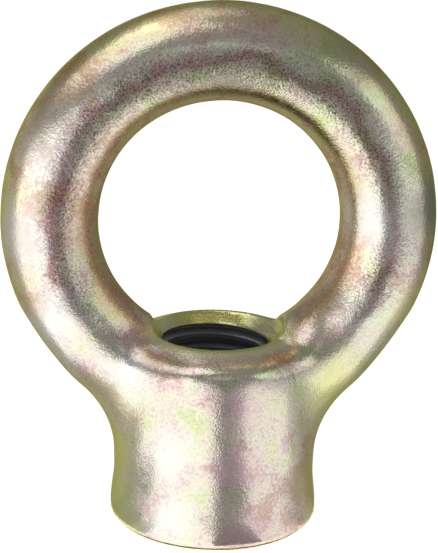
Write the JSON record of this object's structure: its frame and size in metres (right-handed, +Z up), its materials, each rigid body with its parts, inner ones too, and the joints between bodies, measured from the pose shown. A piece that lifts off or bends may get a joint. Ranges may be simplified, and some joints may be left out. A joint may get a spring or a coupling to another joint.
{
  "type": "lifting eye nut",
  "caption": "Forged lifting eye nut: a round-bar ring on a long threaded barrel, in yellow zinc plated steel, for lifting or lashing a load on a threaded stud.",
  "frame": {"origin": "centre of the flat base face, on the thread's axis", "axes": "+Z up the thread's axis through the ring; the ring lies in the XZ plane, and Y is the ring's own axis"},
  "size_m": [0.072, 0.0352, 0.088],
  "materials": {
    "plated_steel": "yellow zinc plated forging, satin with a fine grain"
  },
  "bodies": {
    "root": {"eye_nut": "plated_steel"}
  },
  "joints": []
}
